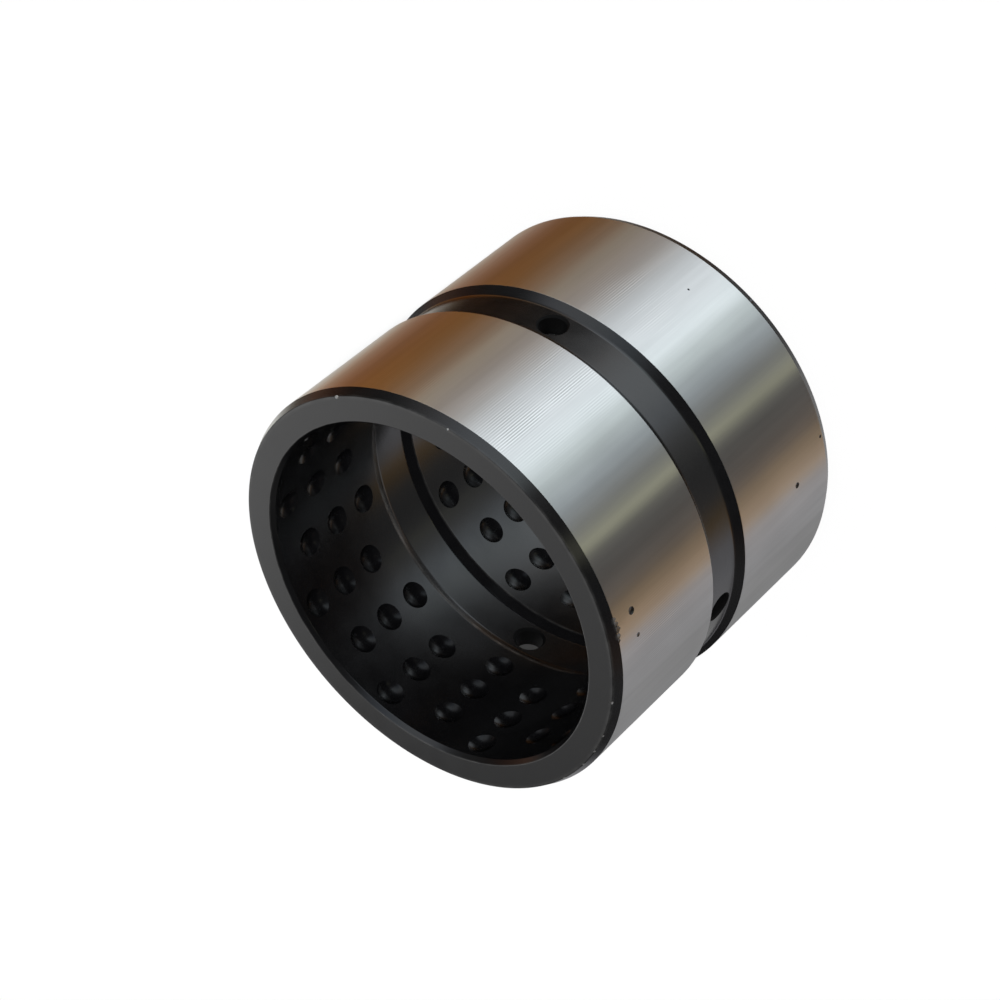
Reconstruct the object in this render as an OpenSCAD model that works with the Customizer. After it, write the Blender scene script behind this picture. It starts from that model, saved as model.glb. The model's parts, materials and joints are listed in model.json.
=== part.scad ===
// Hardened steel sleeve bearing for a greased pin, with a field of grease pockets in its bore.
// It stands on one end face: the axis is +Z and the origin is the centre of the lower end face.

/* [Sleeve] */
// Bore diameter, a running fit on its pin
bore_d = 80; // [60:0.5:110]
// Wall between the bore and the outside, which is a press fit in its housing
wall = 7.5; // [5:0.25:15]
// Length from one end face to the other
length = 80; // [60:1:140]

/* [Edge chamfers] */
// Depth of the lead-in chamfer at each outer edge, measured from the outside diameter
lead_in_depth = 1; // [0.4:0.1:1.6]
// Slope of the lead-in chamfer away from the axis direction
lead_in_angle = 25; // [15:1:45]
// Depth of the chamfer at each mouth of the bore, measured from the bore
mouth_depth = 0.8; // [0.3:0.1:1.2]
// Slope of the mouth chamfer away from the axis direction
mouth_angle = 37; // [25:1:60]

/* [Outer grease groove] */
// Width of the outer groove where it meets the outside diameter
outer_groove_w = 12; // [8:0.5:20]
// Depth of the outer groove
outer_groove_depth = 1.45; // [0.8:0.05:1.8]
// Slope of its flanks away from the axis direction
outer_groove_angle = 39; // [30:1:75]
// Radius between the groove's flanks and its floor
outer_groove_fillet = 1; // [0.3:0.1:2]

/* [Inner grease groove] */
// Width of the inner groove where it meets the bore
inner_groove_w = 13.4; // [10:0.2:20]
// Depth of the inner groove
inner_groove_depth = 1.05; // [0.6:0.05:1.5]
// Slope of its flanks away from the axis direction
inner_groove_angle = 24; // [20:1:75]
// Radius between the groove's flanks and its floor
inner_groove_fillet = 1.5; // [0.3:0.1:3]

/* [Oil holes] */
// Turn from the first cross drilling to the second, each of which makes two opposite holes
drilling_turn = 95; // [60:1:120]
// Diameter of an oil hole
hole_d = 6; // [3:0.5:7]
// Width of the countersink round each end of an oil hole
hole_chamfer = 0.5; // [0.2:0.1:0.8]

/* [Grease pockets] */
// Diameter of a pocket where it opens into the bore
pocket_d = 6; // [4:0.25:7]
// Depth of a pocket below the bore
pocket_depth = 1.3; // [0.6:0.1:1.8]
// Number of pocket columns round the bore, even so that they stagger all the way round
pocket_columns = 20; // [12:2:24]
// Step along the axis from one row to the next
pocket_step = 4.55; // [4:0.05:8]
// Distance of the first row from the upper end face
upper_first_row = 5.2; // [5:0.1:8]
// Distance of the first row below the inner groove from the groove's lower edge
lower_first_row = 4.7; // [4.5:0.1:8]
// Least land between a pocket's rim and the end of the band that it lies in
pocket_land = 1; // [0.5:0.1:3]
// Turn of the first column past the first oil hole
pocket_turn = 6; // [0:0.5:17]

/* [Hidden] */

$fn = 180;
// Segments in the small round cuts, and in each fillet of the section
cut_fn = 48;
fillet_steps = 6;
// Overrun of a cut past the face that it opens on
overrun = 1;

bore_r = bore_d / 2;
outer_r = bore_r + wall;
middle = length / 2;
lead_in_run = lead_in_depth / tan(lead_in_angle);
mouth_run = mouth_depth / tan(mouth_angle);

// Radii of the two groove floors, which the oil holes join
outer_floor_r = outer_r - outer_groove_depth;
inner_floor_r = bore_r + inner_groove_depth;

// Height of each band of bore wall between an end face and the inner groove
band = (length - inner_groove_w) / 2;

// A pocket is the cap of a ball: the ball's radius follows from the cap's width and depth
ball_r = (pow(pocket_d / 2, 2) + pow(pocket_depth, 2)) / (2 * pocket_depth);
ball_centre_r = bore_r + pocket_depth - ball_r;

// Rows that fit in a band whose first row lies at the given distance from its upper end
function rows_in_band(first) = floor((band - first - pocket_d / 2 - pocket_land) / pocket_step) + 1;

// Section of one groove as [depth, height] pairs, from its lower edge to its upper edge,
// with the height measured from the groove's middle and both floor corners filleted
function groove_section(w, depth, angle, fillet) =
    let (
        centre_y = w / 2 - depth / tan(angle) - fillet * tan(angle / 2),
        upper_arc = [
            for (i = [0 : fillet_steps])
                let (a = angle * i / fillet_steps)
                [depth - fillet + fillet * cos(a), centre_y + fillet * sin(a)]
        ],
        upper_half = concat(upper_arc, [[0, w / 2]]),
        last = len(upper_half) - 1
    )
    concat(
        [for (i = [last : -1 : 0]) [upper_half[i][0], -upper_half[i][1]]],
        upper_half
    );

// Half section of the sleeve, up its outside and down its bore
module sleeve_section() {
    outer_groove = groove_section(outer_groove_w, outer_groove_depth, outer_groove_angle,
                                  outer_groove_fillet);
    inner_groove = groove_section(inner_groove_w, inner_groove_depth, inner_groove_angle,
                                  inner_groove_fillet);
    polygon(concat(
        [[outer_r - lead_in_depth, 0], [outer_r, lead_in_run]],
        [for (p = outer_groove) [outer_r - p[0], middle + p[1]]],
        [[outer_r, length - lead_in_run], [outer_r - lead_in_depth, length]],
        [[bore_r + mouth_depth, length], [bore_r, length - mouth_run]],
        [for (p = inner_groove) [bore_r + p[0], middle - p[1]]],
        [[bore_r, mouth_run], [bore_r + mouth_depth, 0]]
    ));
}

// One oil hole along +X, countersunk where it opens into either groove
module oil_hole() {
    hole_r = hole_d / 2;
    translate([bore_r - overrun, 0, middle])
        rotate([0, 90, 0]) cylinder(r = hole_r, h = wall + 2 * overrun, $fn = cut_fn);
    translate([outer_floor_r - hole_chamfer, 0, middle])
        rotate([0, 90, 0])
            cylinder(r1 = hole_r, r2 = hole_r + hole_chamfer + overrun,
                     h = hole_chamfer + overrun, $fn = cut_fn);
    translate([inner_floor_r + hole_chamfer, 0, middle])
        rotate([0, -90, 0])
            cylinder(r1 = hole_r, r2 = hole_r + hole_chamfer + overrun,
                     h = hole_chamfer + overrun, $fn = cut_fn);
}

// Both cross drillings go right through the sleeve at the height of the grooves
module oil_holes() {
    for (turn = [0, drilling_turn], side = [0, 180])
        rotate([0, 0, turn + side]) oil_hole();
}

// One column of pockets down a band, which takes every second row from the given one
module pocket_column(top_z, first, start) {
    for (row = [start : 2 : rows_in_band(first) - 1])
        translate([ball_centre_r, 0, top_z - first - row * pocket_step])
            sphere(r = ball_r, $fn = cut_fn);
}

// Odd columns sit one row lower than even ones, in the band above the groove and in the one below
module pockets() {
    for (i = [0 : pocket_columns - 1])
        rotate([0, 0, pocket_turn + i * 360 / pocket_columns]) {
            pocket_column(length, upper_first_row, i % 2);
            pocket_column(band, lower_first_row, i % 2);
        }
}

module bushing() {
    color("#5c5e60")
        difference() {
            rotate_extrude() sleeve_section();
            oil_holes();
            pockets();
        }
}

bushing();
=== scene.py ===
import json
import math

import bpy
from mathutils import Matrix, Vector


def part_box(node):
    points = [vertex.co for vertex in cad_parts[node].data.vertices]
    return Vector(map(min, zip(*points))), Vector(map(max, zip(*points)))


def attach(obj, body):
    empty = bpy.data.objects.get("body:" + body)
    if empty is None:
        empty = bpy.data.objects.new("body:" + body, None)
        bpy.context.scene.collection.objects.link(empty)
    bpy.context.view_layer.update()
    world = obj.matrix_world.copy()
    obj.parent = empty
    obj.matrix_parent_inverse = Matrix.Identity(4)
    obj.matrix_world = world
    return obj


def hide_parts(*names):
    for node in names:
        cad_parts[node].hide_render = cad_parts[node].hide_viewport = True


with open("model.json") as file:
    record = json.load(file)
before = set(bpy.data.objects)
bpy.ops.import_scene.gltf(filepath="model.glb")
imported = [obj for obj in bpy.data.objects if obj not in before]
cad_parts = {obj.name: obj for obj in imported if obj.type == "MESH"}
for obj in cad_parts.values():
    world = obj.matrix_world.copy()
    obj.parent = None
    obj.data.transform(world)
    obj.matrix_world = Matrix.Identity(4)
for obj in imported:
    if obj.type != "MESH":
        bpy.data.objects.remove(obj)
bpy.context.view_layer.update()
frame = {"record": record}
print("frame loaded")

mm = 0.001
pieceName = "turnedBushing"


def toLinear(hexColour):  # "#RRGGBB" as seen on a screen, to the linear values that nodes take
    parts = [int(hexColour[i:i + 2], 16) / 255 for i in (1, 3, 5)]
    return [p / 12.92 if p <= 0.04045 else ((p + 0.055) / 1.055) ** 2.4 for p in parts] + [1]


# One node, with its settings and with its inputs, each of which is a value or another node's output
def addNode(tree, kind, settings=None, inputs=None):
    node = tree.nodes.new(kind)
    for name, value in (settings or {}).items():
        setattr(node, name, value)
    for name, value in (inputs or {}).items():
        if isinstance(value, bpy.types.NodeSocket):
            tree.links.new(value, node.inputs[name])
        else:
            node.inputs[name].default_value = value
    return node


def deselectAll():
    if bpy.context.mode != "OBJECT":
        bpy.ops.object.mode_set(mode="OBJECT")
    bpy.ops.object.select_all(action="DESELECT")


def makeActive(piece):
    deselectAll()
    piece.select_set(True)
    bpy.context.view_layer.objects.active = piece


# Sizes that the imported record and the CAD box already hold
mountRadius = {m["name"]: m["dims"]["r_mm"] for m in frame["record"]["mounts"] if "r_mm" in m["dims"]}
boreR = mountRadius["bore"]
outerR = mountRadius["outside"]
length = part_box("bushing")[1].z / mm
middle = length / 2

# The turned body, in millimetres and degrees
sleeve = {
    "leadInDepth": 1.0,
    "leadInAngle": 25,
    "mouthDepth": 0.8,
    "mouthAngle": 37,
    "outerGroove": {"width": 12.0, "depth": 1.45, "angle": 39, "fillet": 1.0},
    "innerGroove": {"width": 13.4, "depth": 1.05, "angle": 24, "fillet": 1.5},
    "faceEdge": 0.22,  # rounding of the edge between end face and lead-in chamfer
    "landEdge": 0.12,  # rounding of the ground lands' edges
    "boreEdge": 0.3,  # rounding inside the bore
    "edgeStrip": 3,  # strip of faces at each end of the lands, so that a nick there shades cleanly
    "segments": 360,
    "arcSteps": 5,
}

# The grease pockets in the bore
pocket = {
    "width": 6.0,
    "depth": 1.3,
    "rim": 0.08,  # depth at which the broken rim starts
    "columns": 20,
    "step": 4.55,
    "upperFirst": 5.2,
    "lowerFirst": 4.7,
    "land": 1.0,
    "turn": 6,
    "segments": 32,
    "arcSteps": 9,
}

# The oil holes between the two grooves, where two cross drillings go through
oilHole = {"angles": (0, 95, 180, 275), "width": 6.0, "countersink": 0.5, "segments": 48}

# Small knocks from handling, each with the spot's angle, radius and height, the way its surface faces
# there as degrees up from level, and the mark's width and depth; the last five pits are one scuffed place
marks = {
    "pits": [
        (-153.5, 47.5, 72.4, 0, 1.8, 0.3),
        (-160.7, 47.5, 71.9, 0, 1.1, 0.1),
        (-161, 47.5, 13.5, 0, 1.4, 0.25),
        (-102, 47.5, 11.6, 0, 0.6, 0.08),
        (-154, 47.5, 2.9, 0, 0.8, 0.12),
        (-114, 47.0, 1.1, -25, 1.6, 0.3),
        (-152, 47.5, 77.6, 5, 1.2, 0.08),
        (-153.4, 47.5, 77.4, 5, 1.5, 0.1),
        (-154.9, 47.5, 77.2, 5, 1.8, 0.11),
        (-156.6, 47.5, 77.4, 5, 1.5, 0.09),
        (-157.8, 47.5, 77.7, 5, 1.0, 0.07),
    ],
    "brightNicks": [
        (-175.5, 46.4, 80, 58, 1.1, 0.22),
        (172, 46.4, 80, 58, 0.8, 0.15),
        (165, 46.4, 80, 58, 0.9, 0.16),
        (158, 46.4, 80, 58, 0.8, 0.14),
        (148, 46.4, 80, 58, 0.8, 0.12),
        (-55, 46.2, 80, 62, 1.0, 0.18),
        (-90, 46.4, 80, 58, 0.7, 0.12),
    ],
}


def onRound(angle, radius, height):
    return Matrix.Rotation(math.radians(angle), 3, "Z") @ Vector((radius, 0, height)) * mm


# Corners as (x, y, edge radius); each is swapped for an arc that meets both its sides smoothly
def roundedOutline(corners, steps):
    outline = []
    for i, (x, y, edge) in enumerate(corners):
        corner = Vector((x, y))
        before = (Vector(corners[i - 1][:2]) - corner).normalized()
        after = (Vector(corners[(i + 1) % len(corners)][:2]) - corner).normalized()
        half = before.angle(after) / 2
        centre = corner + (before + after).normalized() * edge / math.sin(half)
        start = corner + before * edge / math.tan(half) - centre
        sweep = math.pi - 2 * half
        turn = 1 if before.cross(after) < 0 else -1
        for k in range(steps + 1):
            point = centre + Matrix.Rotation(turn * sweep * k / steps, 2) @ start
            outline.append((point.x, point.y))
    return outline


# Spins a section of (radius, height) points in millimetres round Z
def turnSection(name, section, segments, material):
    deselectAll()
    bpy.ops.mesh.primitive_circle_add(vertices=len(section), radius=outerR * mm)
    piece = bpy.context.object
    piece.name = piece.data.name = name
    for vertex, (radius, height) in zip(piece.data.vertices, section):
        vertex.co = (radius * mm, 0, height * mm)
    piece.data.materials.append(material)
    bpy.ops.object.mode_set(mode="EDIT")
    bpy.ops.mesh.select_all(action="SELECT")
    bpy.ops.mesh.spin(steps=segments, angle=2 * math.pi, center=(0, 0, 0), axis=(0, 0, 1))
    bpy.ops.mesh.select_all(action="SELECT")
    bpy.ops.mesh.remove_doubles(threshold=1e-6)
    bpy.ops.mesh.normals_make_consistent(inside=False)
    bpy.ops.object.mode_set(mode="OBJECT")
    return piece


# A groove's corners as (depth, height, edge radius), from its lower edge to its upper edge
def grooveCorners(groove, edge):
    half = groove["width"] / 2
    floor = half - groove["depth"] / math.tan(math.radians(groove["angle"]))
    return [
        (0, middle - half, edge),
        (groove["depth"], middle - floor, groove["fillet"]),
        (groove["depth"], middle + floor, groove["fillet"]),
        (0, middle + half, edge),
    ]


def sleeveOutline():
    leadInRun = sleeve["leadInDepth"] / math.tan(math.radians(sleeve["leadInAngle"]))
    mouthRun = sleeve["mouthDepth"] / math.tan(math.radians(sleeve["mouthAngle"]))
    faceOut, faceIn = outerR - sleeve["leadInDepth"], boreR + sleeve["mouthDepth"]
    faceEdge, landEdge, boreEdge = sleeve["faceEdge"], sleeve["landEdge"], sleeve["boreEdge"]
    outer = [(outerR - d, z, e) for d, z, e in grooveCorners(sleeve["outerGroove"], landEdge)]
    inner = [(boreR + d, z, e) for d, z, e in reversed(grooveCorners(sleeve["innerGroove"], boreEdge))]
    corners = [
        (faceOut, 0, faceEdge),
        (outerR, leadInRun, landEdge),
        (outerR, leadInRun + sleeve["edgeStrip"], 0),
        *outer,
        (outerR, length - leadInRun - sleeve["edgeStrip"], 0),
        (outerR, length - leadInRun, landEdge),
        (faceOut, length, faceEdge),
        (faceIn, length, faceEdge),
        (boreR, length - mouthRun, boreEdge),
        *inner,
        (boreR, mouthRun, boreEdge),
        (faceIn, 0, faceEdge),
    ]
    return roundedOutline(corners, sleeve["arcSteps"])


# Turns a cutter from Z to a radial direction and sets it at its height
def placeCutter(cutter, angle, height):
    cutter.data.transform(
        Matrix.Translation((0, 0, height * mm))
        @ Matrix.Rotation(math.radians(angle), 4, "Z")
        @ Matrix.Rotation(math.radians(90), 4, "Y")
    )


def copyPiece(piece):
    twin = piece.copy()
    twin.data = piece.data.copy()
    bpy.context.scene.collection.objects.link(twin)
    return twin


def rowsInBand(first):
    band = (length - sleeve["innerGroove"]["width"]) / 2
    return int((band - first - pocket["width"] / 2 - pocket["land"]) / pocket["step"]) + 1


# Radius of the ball that leaves a round dent of this width and depth
def dentBall(width, depth):
    return (width ** 2 / 4 + depth ** 2) / (2 * depth)


overshoot = 1  # mm by which a cutter stands out past the surface that it cuts


# Ball-nosed cutter for one pocket, with a small flare that breaks the rim; its height is the radius
def pocketCutter(material):
    ballR = dentBall(pocket["width"], pocket["depth"])
    centre = boreR + pocket["depth"] - ballR
    rimAngle = math.acos((boreR + pocket["rim"] - centre) / ballR)
    steps = pocket["arcSteps"]
    section = [
        (ballR * math.sin(rimAngle * k / steps), centre + ballR * math.cos(rimAngle * k / steps))
        for k in range(steps + 1)
    ]
    rimR, rimZ = section[-1]
    section += [(rimR + overshoot, rimZ - overshoot), (0, rimZ - overshoot)]
    return turnSection("pocketCutter", section, pocket["segments"], material)


def holeCutter(material):
    half, sink = oilHole["width"] / 2, oilHole["countersink"]
    outside = outerR - sleeve["outerGroove"]["depth"]
    inside = boreR + sleeve["innerGroove"]["depth"]
    section = [
        (0, outside + overshoot),
        (half + sink + overshoot, outside + overshoot),
        (half, outside - sink),
        (half, inside + sink),
        (half + sink + overshoot, inside - overshoot),
        (0, inside - overshoot),
    ]
    return turnSection("holeCutter", section, oilHole["segments"], material)


# Ball that leaves one mark; a bright one goes through the black skin to the steel
def markCutter(mark, materials, bright):
    angle, radius, height, facing, width, depth = mark
    ballR = dentBall(width, depth)
    facing = math.radians(facing)
    out = radius + (ballR - depth) * math.cos(facing)
    up = height + (ballR - depth) * math.sin(facing)
    deselectAll()
    bpy.ops.mesh.primitive_ico_sphere_add(
        subdivisions=3, radius=ballR * mm, location=onRound(angle, out, up)
    )
    bpy.ops.object.transform_apply(location=True, rotation=True, scale=True)
    cutter = bpy.context.object
    for material in materials:
        cutter.data.materials.append(material)
    for face in cutter.data.polygons:
        face.material_index = 1 if bright else 0
    return cutter


def allCutters(black, bright, milled, drilledDull):
    cutters = []
    first = pocketCutter(milled)
    lowerTop = middle - sleeve["innerGroove"]["width"] / 2
    bands = [(length, pocket["upperFirst"]), (lowerTop, pocket["lowerFirst"])]
    for column in range(pocket["columns"]):
        for top, lead in bands:
            for row in range(column % 2, rowsInBand(lead), 2):
                cutter = copyPiece(first)
                angle = pocket["turn"] + column * 360 / pocket["columns"]
                placeCutter(cutter, angle, top - lead - row * pocket["step"])
                cutters.append(cutter)
    bpy.data.objects.remove(first)
    first = holeCutter(drilledDull)
    for angle in oilHole["angles"]:
        cutter = copyPiece(first)
        placeCutter(cutter, angle, middle)
        cutters.append(cutter)
    bpy.data.objects.remove(first)
    cutters += [markCutter(mark, (black, bright), False) for mark in marks["pits"]]
    cutters += [markCutter(mark, (black, bright), True) for mark in marks["brightNicks"]]
    return cutters


def cutAway(piece, cutters):
    deselectAll()
    for cutter in cutters:
        cutter.select_set(True)
    bpy.context.view_layer.objects.active = cutters[-1]
    bpy.ops.object.join()
    cutter = bpy.context.object
    makeActive(piece)
    cut = piece.modifiers.new("cut", "BOOLEAN")
    cut.operation = "DIFFERENCE"
    cut.solver = "MANIFOLD"
    cut.object = cutter
    bpy.ops.object.modifier_apply(modifier=cut.name)
    bpy.data.objects.remove(cutter)


def smoothPiece(piece):
    makeActive(piece)
    bpy.ops.object.shade_smooth_by_angle(angle=math.radians(30))
    weigh = piece.modifiers.new("weigh", "WEIGHTED_NORMAL")
    weigh.keep_sharp = True
    bpy.ops.object.modifier_apply(modifier=weigh.name)


noiseRange = {1: 0.3, 2: 0.7}  # where nearly all of a noise's values lie
spotCore = 0.2  # share of a spot's reach over which it has its full strength


# The larger of what is there so far and of a soft spot of this reach and strength
def nearSpot(tree, socket, spot, reach, strength, soFar):
    away = addNode(tree, "ShaderNodeVectorMath", {"operation": "DISTANCE"}, {0: socket, 1: spot})
    near = addNode(
        tree,
        "ShaderNodeMapRange",
        {"interpolation_type": "SMOOTHSTEP"},
        {"Value": away.outputs["Value"], 1: reach * mm, 2: spotCore * reach * mm, 3: 0.0, 4: strength},
    )
    larger = addNode(tree, "ShaderNodeMath", {"operation": "MAXIMUM"}, {0: soFar, 1: near.outputs[0]})
    return larger.outputs[0]


# Ground steel: the wheel's fine lines run round the sleeve, so every light is drawn out along its axis
ground = {
    "dull": "#AFAFAD",
    "bright": "#F0F0EE",
    "roughness": (0.285, 0.32),
    "streaks": (3, 60),  # mm round and along
    "streakTint": {3: 0.25, 4: 0.75},  # part of the range between the two colours that the streaks use
    "cloud": 22,  # mm across the soft patches where the wheel dwelt
    "chatterPitch": 0.54,  # mm between the chatter lines, about 0.4 on the real one and drawn coarser
    "chatterDepth": 0.01,
    "chatterTint": 0.6,
    "chatterGaps": {1: 0.4, 2: 0.65},  # part of the streaks' values over which the lines come up
    "chatterSpots": [  # angle, height, reach and strength of the patches where they show
        (-100, 53, 13, 1.0),
        (-102, 69, 13, 1.0),
        (-95, 23, 12, 1.0),
        (-70, 72, 9, 0.6),
        (10, 20, 18, 0.5),
        (60, 62, 18, 0.5),
        (140, 30, 20, 0.5),
        (-165, 64, 12, 0.6),
    ],
}


def groundSteel():
    material = bpy.data.materials.new("groundSteel")
    material.use_nodes = True
    tree = material.node_tree
    shader = tree.nodes["Principled BSDF"]
    shader.inputs["Metallic"].default_value = 1
    shader.inputs["Anisotropic"].default_value = 1
    shader.inputs["Anisotropic Rotation"].default_value = 0.25
    place = addNode(tree, "ShaderNodeTexCoord").outputs["Object"]
    ringWise = addNode(tree, "ShaderNodeTangent", {"direction_type": "RADIAL", "axis": "Z"})
    tree.links.new(ringWise.outputs[0], shader.inputs["Tangent"])

    cloud = addNode(
        tree,
        "ShaderNodeTexNoise",
        inputs={"Vector": place, "Scale": 1 / (ground["cloud"] * mm), "Detail": 3.0},
    )
    low, high = ground["roughness"]
    roughness = addNode(
        tree, "ShaderNodeMapRange", inputs={"Value": cloud.outputs[0], **noiseRange, 3: low, 4: high}
    )
    tree.links.new(roughness.outputs[0], shader.inputs["Roughness"])

    around, along = (1 / (size * mm) for size in ground["streaks"])
    drawn = addNode(tree, "ShaderNodeMapping", inputs={"Vector": place, "Scale": (around, around, along)})
    streaks = addNode(
        tree,
        "ShaderNodeTexNoise",
        inputs={"Vector": drawn.outputs[0], "Scale": 1.0, "Detail": 3.0, "Roughness": 0.6},
    )

    split = addNode(tree, "ShaderNodeSeparateXYZ", inputs={0: place})
    angle = addNode(
        tree, "ShaderNodeMath", {"operation": "ARCTAN2"}, {0: split.outputs["Y"], 1: split.outputs["X"]}
    )
    lineCount = round(2 * math.pi * outerR / ground["chatterPitch"])
    turned = addNode(
        tree, "ShaderNodeMath", {"operation": "MULTIPLY"}, {0: angle.outputs[0], 1: lineCount}
    )
    lines = addNode(tree, "ShaderNodeMath", {"operation": "SINE"}, {0: turned.outputs[0]})
    patches = 0.0
    for spotAngle, height, reach, strength in ground["chatterSpots"]:
        patches = nearSpot(tree, place, onRound(spotAngle, outerR, height), reach, strength, patches)
    broken = addNode(
        tree, "ShaderNodeMapRange", inputs={"Value": streaks.outputs[0], **ground["chatterGaps"]}
    )
    patchy = addNode(tree, "ShaderNodeMath", {"operation": "MULTIPLY"}, {0: patches, 1: broken.outputs[0]})
    chatter = addNode(
        tree, "ShaderNodeMath", {"operation": "MULTIPLY"}, {0: lines.outputs[0], 1: patchy.outputs[0]}
    )
    streakTint = addNode(
        tree, "ShaderNodeMapRange", inputs={"Value": streaks.outputs[0], **ground["streakTint"]}
    )
    tint = addNode(
        tree,
        "ShaderNodeMath",
        {"operation": "MULTIPLY_ADD", "use_clamp": True},
        {0: chatter.outputs[0], 1: ground["chatterTint"], 2: streakTint.outputs[0]},
    )
    colour = addNode(
        tree,
        "ShaderNodeMix",
        {"data_type": "RGBA"},
        {0: tint.outputs[0], 6: toLinear(ground["dull"]), 7: toLinear(ground["bright"])},
    )
    tree.links.new(colour.outputs[2], shader.inputs["Base Color"])
    bump = addNode(
        tree, "ShaderNodeBump", inputs={"Distance": ground["chatterDepth"] * mm, "Height": chatter.outputs[0]}
    )
    tree.links.new(bump.outputs[0], shader.inputs["Normal"])
    return material


# Black oxide on turned steel: a dark satin skin that shows only what is bright around it, with the lathe's
# fine lines and a lighter grey along its edges, partly rubbed wear and partly a painted highlight of the
# rounded edges
oxide = {
    "dark": "#070708",
    "light": "#0D0D0E",
    # grey of the rubbed edges and the scuffs; on the edges it is also a painted highlight
    "wearAndHighlight": "#8A8A88",
    "roughness": (0.17, 0.24),
    "mottle": 5,  # mm
    "feed": 0.25,  # mm between the lathe's lines
    "feedDepth": 0.0004,
    "rubAndHighlightPatch": 3,  # mm across the parts of an edge whose rub and painted highlight are stronger or weaker
    "rubAndHighlightShare": {1: 0.35, 2: 0.65, 3: 0.2, 4: 1.0},  # from the noise to the share of the rub and painted highlight that shows
    "edges": [  # radius, height, reach and strength of each lighter edge, partly rubbed wear and partly a painted highlight
        (46.3, 80, 0.7, 0.07),
        (46.3, 0, 0.7, 0.07),
        (40.8, 80, 0.3, 0.1),
        (40.3, 46.2, 0.8, 0.3),
        (40, 33.3, 0.4, 0.06),
    ],
    "scuffs": [  # angle, radius, height, reach and strength of each grey scuff on a pit
        (-152.5, 47.5, 76.9, 1.7, 0.3),
        (-154.5, 47.5, 76.7, 2.0, 0.3),
        (-156.5, 47.5, 76.8, 1.8, 0.3),
    ],
}


def blackOxide():
    material = bpy.data.materials.new("blackOxide")
    material.use_nodes = True
    tree = material.node_tree
    shader = tree.nodes["Principled BSDF"]
    shader.inputs["IOR"].default_value = 1.65
    place = addNode(tree, "ShaderNodeTexCoord").outputs["Object"]
    split = addNode(tree, "ShaderNodeSeparateXYZ", inputs={0: place})
    flat = addNode(
        tree, "ShaderNodeCombineXYZ", inputs={"X": split.outputs["X"], "Y": split.outputs["Y"]}
    )
    fromAxis = addNode(tree, "ShaderNodeVectorMath", {"operation": "LENGTH"}, {0: flat.outputs[0]})
    radius = fromAxis.outputs["Value"]

    mottle = addNode(
        tree,
        "ShaderNodeTexNoise",
        inputs={"Vector": place, "Scale": 1 / (oxide["mottle"] * mm), "Detail": 4.0},
    )
    low, high = oxide["roughness"]
    roughness = addNode(
        tree, "ShaderNodeMapRange", inputs={"Value": mottle.outputs[0], **noiseRange, 3: low, 4: high}
    )
    tree.links.new(roughness.outputs[0], shader.inputs["Roughness"])
    skin = addNode(
        tree,
        "ShaderNodeMix",
        {"data_type": "RGBA"},
        {0: mottle.outputs[0], 6: toLinear(oxide["dark"]), 7: toLinear(oxide["light"])},
    )

    section = addNode(tree, "ShaderNodeCombineXYZ", inputs={"X": radius, "Y": split.outputs["Z"]})
    # Lighter grey along the edges, partly wear and partly a painted highlight of the rounded edges; the
    # scuffs are wear
    wearAndHighlight = 0.0
    for edgeRadius, edgeHeight, reach, strength in oxide["edges"]:
        edge = (edgeRadius * mm, edgeHeight * mm, 0)
        wearAndHighlight = nearSpot(tree, section.outputs[0], edge, reach, strength, wearAndHighlight)
    for angle, spotRadius, spotHeight, reach, strength in oxide["scuffs"]:
        wearAndHighlight = nearSpot(tree, place, onRound(angle, spotRadius, spotHeight), reach, strength, wearAndHighlight)
    patchy = addNode(
        tree,
        "ShaderNodeTexNoise",
        inputs={"Vector": place, "Scale": 1 / (oxide["rubAndHighlightPatch"] * mm), "Detail": 3.0},
    )
    uneven = addNode(tree, "ShaderNodeMapRange", inputs={"Value": patchy.outputs[0], **oxide["rubAndHighlightShare"]})
    rubAndHighlight = addNode(tree, "ShaderNodeMath", {"operation": "MULTIPLY"}, {0: wearAndHighlight, 1: uneven.outputs[0]})
    colour = addNode(
        tree,
        "ShaderNodeMix",
        {"data_type": "RGBA"},
        {0: rubAndHighlight.outputs[0], 6: skin.outputs[2], 7: toLinear(oxide["wearAndHighlight"])},
    )
    tree.links.new(colour.outputs[2], shader.inputs["Base Color"])

    along = addNode(tree, "ShaderNodeMath", {"operation": "ADD"}, {0: radius, 1: split.outputs["Z"]})
    lines = addNode(
        tree,
        "ShaderNodeMath",
        {"operation": "MULTIPLY"},
        {0: along.outputs[0], 1: 2 / (oxide["feed"] * mm)},  # one line takes about two of the noise's steps
    )
    lathe = addNode(
        tree,
        "ShaderNodeTexNoise",
        {"noise_dimensions": "1D"},
        {"W": lines.outputs[0], "Scale": 1.0, "Detail": 1.0},
    )
    bump = addNode(
        tree, "ShaderNodeBump", inputs={"Distance": oxide["feedDepth"] * mm, "Height": lathe.outputs[0]}
    )
    tree.links.new(bump.outputs[0], shader.inputs["Normal"])
    return material


# Duller blacks in the cut places: the milled pockets show only small soft highlights, and the darker, dull
# walls of the drilled holes mirror nothing
dull = {
    "mottle": 1.5,  # mm
    "milledBlack": {"dark": "#050506", "light": "#0A0A0B", "roughness": (0.22, 0.29), "specular": 0.38},
    "drilledDullBlack": {"dark": "#040404", "light": "#090909", "roughness": (0.7, 0.8), "specular": 0.2},
}


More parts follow.
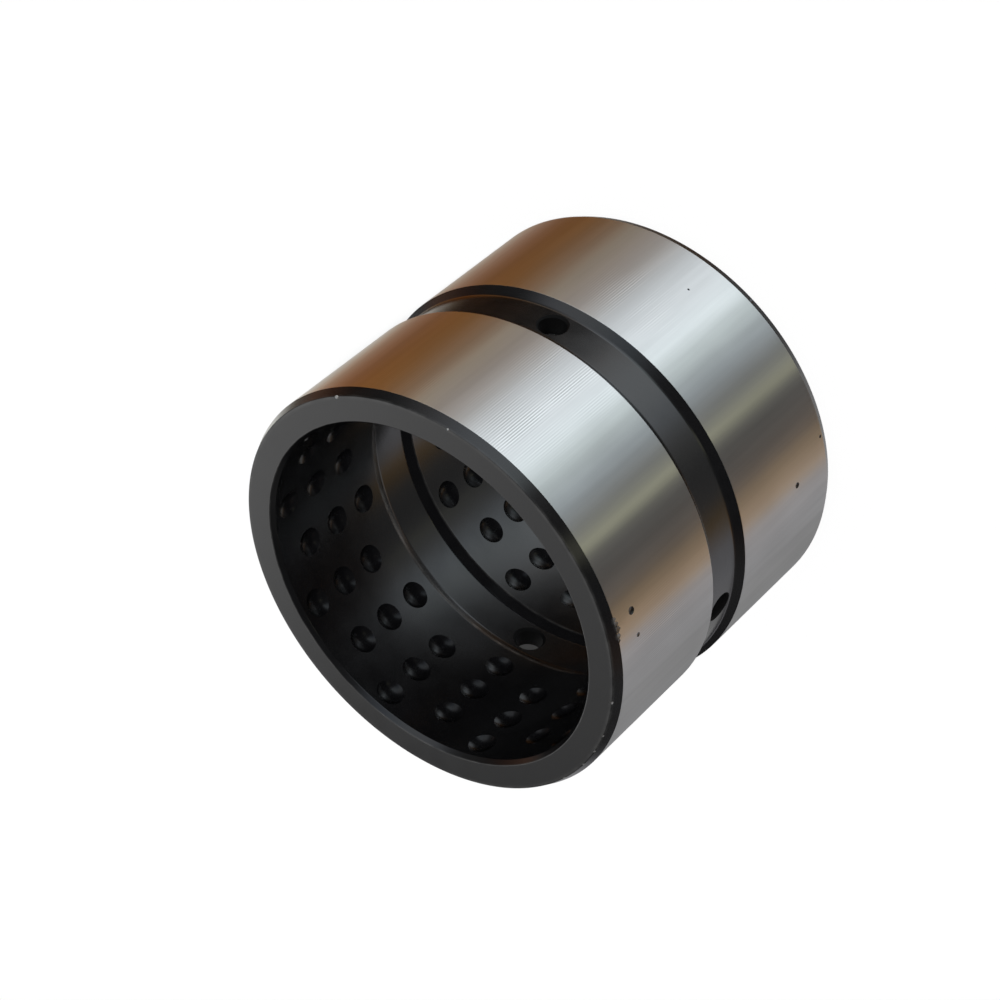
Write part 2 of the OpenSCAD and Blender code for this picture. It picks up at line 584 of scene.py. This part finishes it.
def dullBlack(name):
    finish = dull[name]
    material = bpy.data.materials.new(name)
    material.use_nodes = True
    tree = material.node_tree
    shader = tree.nodes["Principled BSDF"]
    shader.inputs["Specular IOR Level"].default_value = finish["specular"]
    place = addNode(tree, "ShaderNodeTexCoord").outputs["Object"]
    mottle = addNode(
        tree,
        "ShaderNodeTexNoise",
        inputs={"Vector": place, "Scale": 1 / (dull["mottle"] * mm), "Detail": 3.0},
    )
    colour = addNode(
        tree,
        "ShaderNodeMix",
        {"data_type": "RGBA"},
        {0: mottle.outputs[0], 6: toLinear(finish["dark"]), 7: toLinear(finish["light"])},
    )
    tree.links.new(colour.outputs[2], shader.inputs["Base Color"])
    low, high = finish["roughness"]
    roughness = addNode(
        tree, "ShaderNodeMapRange", inputs={"Value": mottle.outputs[0], **noiseRange, 3: low, 4: high}
    )
    tree.links.new(roughness.outputs[0], shader.inputs["Roughness"])
    return material


def makeBushing():
    black, bright = blackOxide(), groundSteel()
    milled, drilledDull = dullBlack("milledBlack"), dullBlack("drilledDullBlack")
    piece = turnSection(pieceName, sleeveOutline(), sleeve["segments"], black)
    piece.data.materials.append(bright)
    piece.data.materials.append(milled)
    piece.data.materials.append(drilledDull)
    for face in piece.data.polygons:
        radius = math.hypot(face.center.x, face.center.y) / mm
        face.material_index = 1 if radius > outerR - 0.5 * sleeve["landEdge"] else 0
    print("body turned,", len(piece.data.polygons), "faces")
    cutAway(piece, allCutters(black, bright, milled, drilledDull))
    print("pockets, oil holes and marks cut,", len(piece.data.polygons), "faces")
    smoothPiece(piece)
    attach(piece, "root")
    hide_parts("bushing")
    return piece


camera = {
    "azimuth": -118.16,  # where it stands round the bushing, counted from +X
    "elevation": 38.714,
    "distance": 583.06,
    "roll": -130.18,
    "target": (6.54, 1.22, 45.19),
    "lens": 99.3,
}


def makeCamera():
    deselectAll()
    bpy.ops.object.camera_add()
    shooter = bpy.context.object
    shooter.name = "camera"
    turn = (
        Matrix.Rotation(math.radians(camera["azimuth"] + 90), 4, "Z")
        @ Matrix.Rotation(math.radians(90 - camera["elevation"]), 4, "X")
        @ Matrix.Rotation(math.radians(camera["roll"]), 4, "Z")
    )
    back = turn @ Vector((0, 0, camera["distance"] * mm))
    shooter.matrix_world = Matrix.Translation(Vector(camera["target"]) * mm + back) @ turn
    shooter.data.lens = camera["lens"]
    shooter.data.sensor_width = 36
    shooter.data.clip_start = 0.01
    bpy.context.scene.camera = shooter


studio = {
    "floorSize": 8.0,  # metres
    "floorColour": "#FAFAFA",
    "skyLight": 0.05,  # share of the light that comes from all round
    "keyLight": 4.4,
    "keySpread": 10,  # degrees across
    "keyElevation": 46,
}


def makeFloor():
    deselectAll()
    bpy.ops.mesh.primitive_plane_add(size=studio["floorSize"])
    floor = bpy.context.object
    floor.name = "floor"
    floor.visible_glossy = False  # the steel mirrors the room below and round it, as in the photo
    material = bpy.data.materials.new("paleFloor")
    material.use_nodes = True
    tree = material.node_tree
    tree.nodes.remove(tree.nodes["Principled BSDF"])
    matt = addNode(tree, "ShaderNodeBsdfDiffuse", inputs={"Color": toLinear(studio["floorColour"])})
    tree.links.new(matt.outputs[0], tree.nodes["Material Output"].inputs["Surface"])
    floor.data.materials.append(material)


# A broad soft lamp over the camera, so that the bushing's own shadow falls behind it and inside its bore
def makeKey():
    deselectAll()
    bpy.ops.object.light_add(type="SUN")
    lamp = bpy.context.object
    lamp.name = "softKey"
    lamp.data.energy = studio["keyLight"]
    lamp.data.angle = math.radians(studio["keySpread"])
    lamp.rotation_euler = (
        0,
        math.radians(90 - studio["keyElevation"]),
        math.radians(camera["azimuth"]),
    )
    lamp.visible_glossy = False


# A dark card under the bore, seen in reflections only: a painted dark reflection standing in for shade, which
# keeps the lower bore as black as in the photo
card = {
    "radius": 40,
    "drop": 1,  # mm below the sleeve
    "turn": -30,  # degrees from +X to its dark side
    "clear": -2,  # mm from its middle, up to which it is clear
    "dark": 16,  # mm from its middle, from which it has its full share
    "share": 0.85,
}


def makeCard():
    deselectAll()
    bpy.ops.mesh.primitive_circle_add(
        vertices=64, radius=card["radius"] * mm, fill_type="NGON", location=(0, 0, -card["drop"] * mm)
    )
    flag = bpy.context.object
    flag.name = "paintedShadeCard"
    flag.rotation_euler = (0, 0, math.radians(card["turn"]))
    flag.visible_camera = flag.visible_diffuse = False
    flag.visible_shadow = flag.visible_transmission = False
    material = bpy.data.materials.new("paintedShadeBlack")
    material.use_nodes = True
    tree = material.node_tree
    tree.nodes.remove(tree.nodes["Principled BSDF"])
    place = addNode(tree, "ShaderNodeTexCoord").outputs["Object"]
    split = addNode(tree, "ShaderNodeSeparateXYZ", inputs={0: place})
    clearTo, darkFrom = card["clear"] * mm, card["dark"] * mm
    share = addNode(
        tree,
        "ShaderNodeMapRange",
        inputs={"Value": split.outputs["X"], 1: clearTo, 2: darkFrom, 3: 0.0, 4: card["share"]},
    )
    clear = addNode(tree, "ShaderNodeBsdfTransparent")
    matt = addNode(tree, "ShaderNodeBsdfDiffuse", inputs={"Color": toLinear("#000000")})
    both = addNode(
        tree, "ShaderNodeMixShader", inputs={0: share.outputs[0], 1: clear.outputs[0], 2: matt.outputs[0]}
    )
    tree.links.new(both.outputs[0], tree.nodes["Material Output"].inputs["Surface"])
    flag.data.materials.append(material)


# What the steel mirrors: rings round the sleeve's axis, from straight below it to straight above it, each
# with the colours along it by compass direction in degrees from +X
room = {
    "rings": {
        "floor": [
            (-180, "#505050"),
            (-160, "#505050"),
            (-149, "#707068"),
            (-143, "#606060"),
            (-125, "#808488"),
            (-112, "#B8C4C8"),
            (-96, "#F0F8FF"),
            (-72, "#E0E8F0"),
            (-52, "#887868"),
            (-38, "#705838"),
            (-20, "#583818"),
            (0, "#48280C"),
            (20, "#504030"),
            (45, "#787470"),
            (60, "#A0A0A0"),
            (155, "#A8A8A8"),
            (163, "#B0987C"),
            (169, "#906030"),
            (176, "#503828"),
            (180, "#505050"),
        ],
        "bench": [
            (-180, "#484038"),
            (-172, "#484844"),
            (-160, "#505050"),
            (-151, "#585858"),
            (-148.7, "#D0D0A8"),  # narrow pale upright
            (-146.4, "#D0D0A8"),
            (-144.5, "#808480"),
            (-137, "#8C9290"),
            (-125, "#C8DAE2"),
            (-112, "#E8FFFF"),
            (-95, "#F0FAFF"),  # window light
            (-75, "#F8FCFF"),
            (-71, "#F0F0F0"),
            (-68, "#E4E0DC"),
            (-63, "#F4ECE4"),
            (-61, "#C4B4A8"),
            (-55, "#D4C4B4"),
            (-52, "#C8B098"),
            (-43, "#F0DCBC"),
            (-39, "#DCB48C"),
            (-20, "#D48C40"),  # wooden bench
            (0, "#AC6420"),
            (10, "#A46020"),
            (20, "#AC8C60"),
            (27, "#DCD8D0"),
            (36, "#FFFFF8"),
            (60, "#9C9C9C"),
            (105, "#9C9CA0"),
            (159, "#B0ADB0"),  # grey wall
            (163, "#D8A858"),
            (168.5, "#C08828"),
            (174, "#805C2C"),  # narrow wooden upright
        ],
        "ledge": [
            (-180, "#6C6C6C"),
            (-165, "#606060"),
            (-150, "#787878"),
            (-140, "#A0A0A0"),
            (-128, "#D8E0E8"),
            (-114, "#F4FAFF"),
            (-100, "#F4FAFF"),
            (-86, "#D8D8D8"),
            (-76, "#A0A0A0"),
            (-64, "#585858"),
            (-45, "#343434"),
            (-25, "#1C1610"),
            (-5, "#20160C"),
            (8, "#34241A"),
            (20, "#645444"),
            (35, "#C8C4BC"),
            (80, "#989898"),
            (110, "#909090"),
            (130, "#A8A8AC"),
            (152, "#B0B0B6"),
            (168, "#987C50"),
            (180, "#6C6C6C"),
        ],
        "level": [
            (-180, "#303030"),
            (-160, "#303030"),
            (-152, "#383838"),
            (-147, "#B8B8A0"),
            (-143, "#B8B8A0"),
            (-138, "#404040"),
            (-124, "#404040"),
            (-114, "#707070"),
            (-104, "#E0ECF0"),
            (-90, "#E0E8F0"),
            (-76, "#D0D8E0"),
            (-60, "#A8A8AC"),
            (-48, "#747474"),
            (-34, "#383838"),
            (-16, "#382C20"),
            (-4, "#604030"),
            (8, "#886450"),
            (18, "#606060"),
            (35, "#686868"),
            (48, "#F0F0F0"),  # lamp
            (57, "#F0F0F0"),
            (64, "#181818"),
            (80, "#202020"),
            (110, "#303030"),
            (150, "#585858"),
            (162, "#604C40"),
            (180, "#303030"),
        ],
        "shelf": [
            (-180, "#242424"),
            (-112, "#303030"),
            (-102, "#A0A8B0"),
            (-90, "#B8C4CC"),
            (-60, "#C8CCD0"),
            (-46, "#B8BCC4"),
            (-36, "#505050"),
            (0, "#404040"),
            (18, "#585858"),
            (35, "#686868"),
            (48, "#F0F0F0"),
            (57, "#F0F0F0"),
            (64, "#181818"),
            (80, "#202020"),
            (100, "#303030"),
            (180, "#242424"),
        ],
        "above": [
            (-180, "#242424"),
            (-112, "#303030"),
            (-100, "#505050"),
            (-85, "#8890A0"),
            (-68, "#B0B8C0"),
            (-50, "#C0C4C8"),
            (-30, "#909498"),
            (-10, "#686868"),
            (0, "#404040"),
            (30, "#C0C0C0"),
            (50, "#E8E8E8"),
            (60, "#B8B8B8"),
            (68, "#A8A8A8"),
            (80, "#808080"),
            (100, "#303030"),
            (180, "#242424"),
        ],
    },
    "bands": [  # elevations between which the colours go over to the next ring
        (-82, -72, "floor"),
        (-52, -45, "ledge"),
        (-38, -31, "bench"),
        (-26, -17, "level"),
        (13, 22, "shelf"),
        (28, 40, "above"),
    ],
    "below": "#606060",
    "top": (50, 80, "#A0A0A0"),
    "pane": {  # brightest part of the window, with the edges' start and end in degrees
        "azimuth": (-117, -92, -75, -62),
        "height": (-38, -31, -22, -14),
        "colour": "#E0F0FF",
        "extra": 0.4,
    },
    "strength": 1.4,
}


def makeWorld():
    world = bpy.data.worlds.new("studioRoom")
    bpy.context.scene.world = world
    world.use_nodes = True
    tree = world.node_tree
    direction = addNode(tree, "ShaderNodeTexCoord").outputs["Generated"]
    split = addNode(tree, "ShaderNodeSeparateXYZ", inputs={0: direction})
    azimuth = addNode(
        tree, "ShaderNodeMath", {"operation": "ARCTAN2"}, {0: split.outputs["Y"], 1: split.outputs["X"]}
    )
    compass = addNode(
        tree, "ShaderNodeMapRange", inputs={"Value": azimuth.outputs[0], 1: -math.pi, 2: math.pi}
    )
    height = addNode(tree, "ShaderNodeMath", {"operation": "ARCSINE"}, {0: split.outputs["Z"]})

    rings = {}
    for name, stops in room["rings"].items():
        ramp = addNode(tree, "ShaderNodeValToRGB", inputs={"Fac": compass.outputs[0]})
        elements = ramp.color_ramp.elements
        for i, (angle, colour) in enumerate(stops):
            element = elements[i] if i < 2 else elements.new(1)
            element.position = (angle + 180) / 360
            element.color = toLinear(colour)
        rings[name] = ramp.outputs["Color"]

    top = room["top"]
    seen = toLinear(room["below"])
    for start, end, ring in room["bands"] + [(top[0], top[1], None)]:
        share = addNode(
            tree,
            "ShaderNodeMapRange",
            {"interpolation_type": "SMOOTHSTEP"},
            {"Value": height.outputs[0], 1: math.radians(start), 2: math.radians(end), 3: 0.0, 4: 1.0},
        )
        into = rings[ring] if ring else toLinear(top[2])
        seen = addNode(
            tree, "ShaderNodeMix", {"data_type": "RGBA"}, {0: share.outputs[0], 6: seen, 7: into}
        ).outputs[2]

    pane = room["pane"]
    inside = pane["extra"]
    for socket, limits in ((azimuth.outputs[0], pane["azimuth"]), (height.outputs[0], pane["height"])):
        opens, full, fades, closes = (math.radians(limit) for limit in limits)
        for start, end, before, after in ((opens, full, 0.0, 1.0), (fades, closes, 1.0, 0.0)):
            step = addNode(
                tree,
                "ShaderNodeMapRange",
                {"interpolation_type": "SMOOTHSTEP"},
                {"Value": socket, 1: start, 2: end, 3: before, 4: after},
            )
            inside = addNode(
                tree, "ShaderNodeMath", {"operation": "MULTIPLY"}, {0: inside, 1: step.outputs[0]}
            ).outputs[0]
    glow = addNode(
        tree,
        "ShaderNodeVectorMath",
        {"operation": "SCALE"},
        {0: toLinear(pane["colour"])[:3], "Scale": inside},
    )
    withPane = addNode(tree, "ShaderNodeVectorMath", {"operation": "ADD"}, {0: seen, 1: glow.outputs[0]})
    seen = withPane.outputs[0]

    # The camera sees plain white, the steel mirrors the room, and the floor gets soft white light
    path = addNode(tree, "ShaderNodeLightPath")
    straight = path.outputs["Is Camera Ray"]
    fresh = addNode(  # a ray that hasn't come by way of the floor
        tree, "ShaderNodeMath", {"operation": "LESS_THAN"}, {0: path.outputs["Diffuse Depth"], 1: 0.5}
    )
    mirrored = addNode(
        tree,
        "ShaderNodeMath",
        {"operation": "MULTIPLY"},
        {0: path.outputs["Is Glossy Ray"], 1: fresh.outputs[0]},
    )
    glossy = mirrored.outputs[0]
    white = toLinear("#FFFFFF")
    colour = addNode(tree, "ShaderNodeMix", {"data_type": "RGBA"}, {0: glossy, 6: white, 7: seen})
    level = addNode(tree, "ShaderNodeMix", inputs={0: glossy, 2: studio["skyLight"], 3: room["strength"]})
    shown = addNode(tree, "ShaderNodeMix", inputs={0: straight, 2: level.outputs[0], 3: 1.0})
    background = tree.nodes["Background"]
    tree.links.new(colour.outputs[2], background.inputs["Color"])
    tree.links.new(shown.outputs[0], background.inputs["Strength"])


makeCamera()
bushing = makeBushing()
makeFloor()
makeKey()
makeCard()
makeWorld()
bpy.context.scene.view_settings.view_transform = "Standard"
print("studio set")
